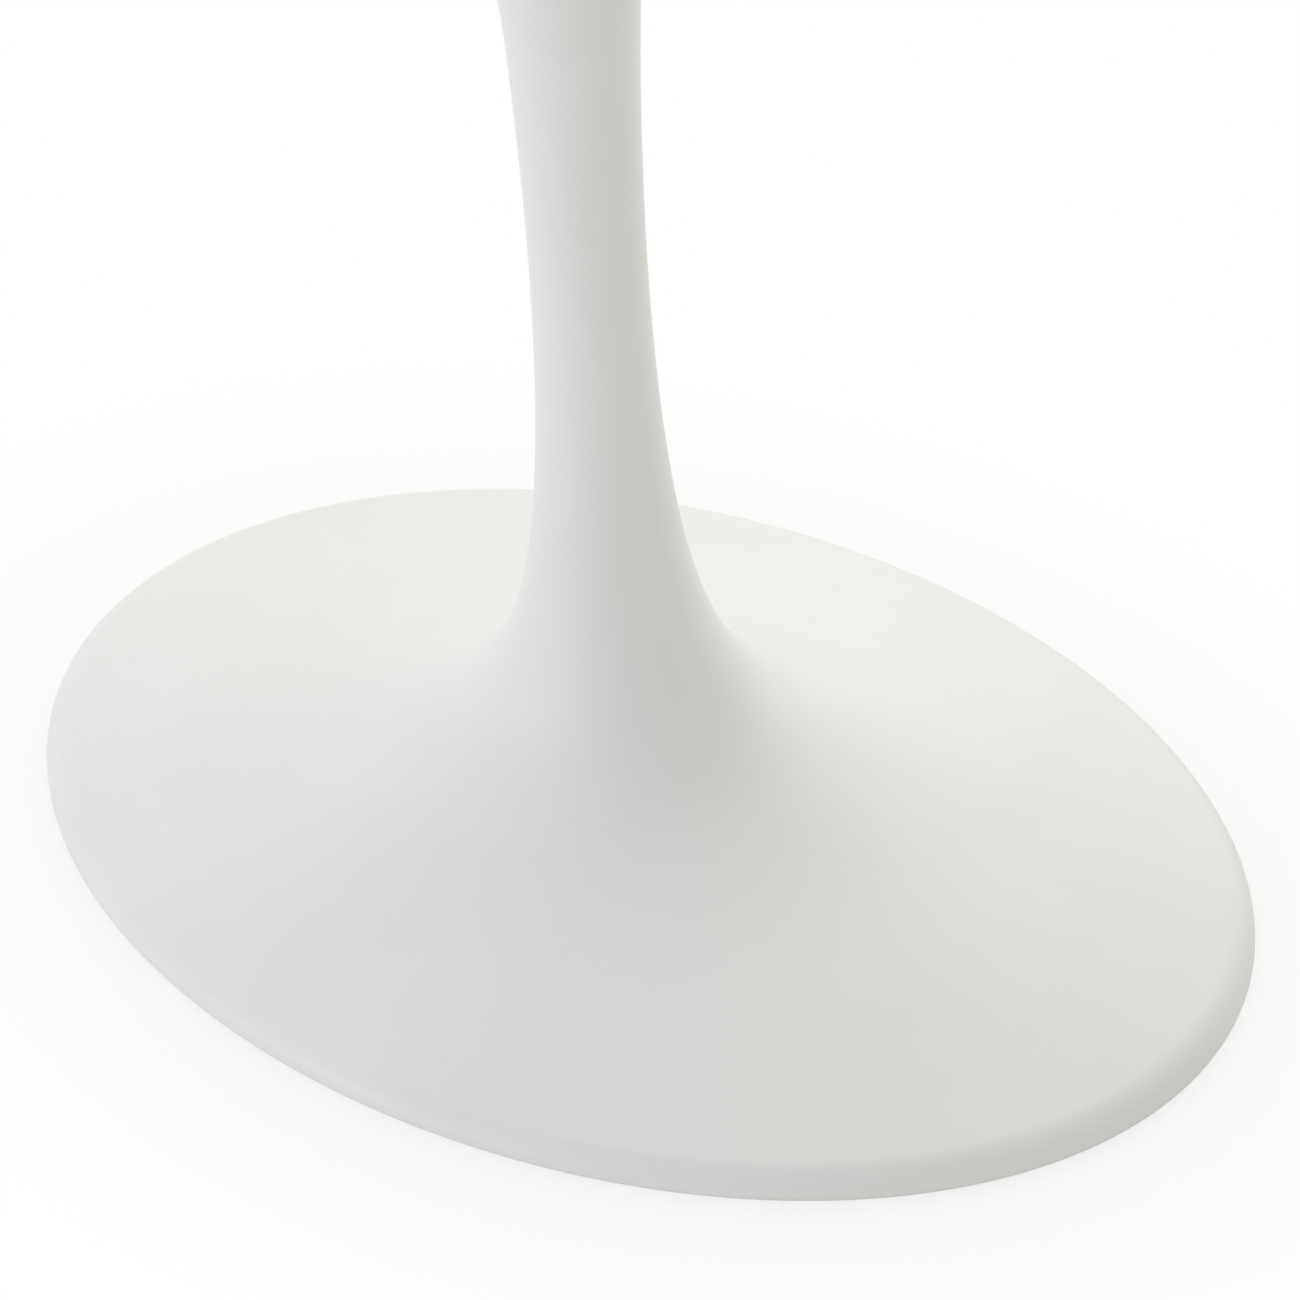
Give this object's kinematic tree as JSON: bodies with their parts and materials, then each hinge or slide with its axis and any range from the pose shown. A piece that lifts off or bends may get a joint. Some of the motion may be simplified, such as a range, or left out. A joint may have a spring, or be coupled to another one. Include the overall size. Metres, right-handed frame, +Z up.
{
  "type": "tulip table base",
  "caption": "Oval pedestal base for a dining table: a thin dished foot sweeps up into a narrow round stem that flares again under the top, with a screw plate held by a tie rod.",
  "frame": {"origin": "on the floor, under the axis of the stem, at the middle of the oval foot", "axes": "+Z up along the stem to the table top, +X along the long axis of the foot, +Y along its short axis"},
  "size_m": [0.78, 0.5559, 0.715],
  "materials": {
    "white_paint": "satin white paint",
    "plate_steel": "zinc-plated, dull",
    "zinc_steel": "zinc-plated, bright",
    "spring_steel": "blackened spring steel",
    "glide_plastic": "grey moulded plastic"
  },
  "bodies": {
    "root": {"pedestal": "white_paint", "top_plate": "plate_steel", "tie_rod": "zinc_steel", "rod_washer": "zinc_steel", "lock_washer": "spring_steel", "rod_nut": "zinc_steel", "floor_glide_1": "glide_plastic", "floor_glide_2": "glide_plastic", "floor_glide_3": "glide_plastic", "floor_glide_4": "glide_plastic", "floor_glide_5": "glide_plastic", "floor_glide_6": "glide_plastic", "floor_glide_7": "glide_plastic", "floor_glide_8": "glide_plastic"}
  },
  "joints": []
}
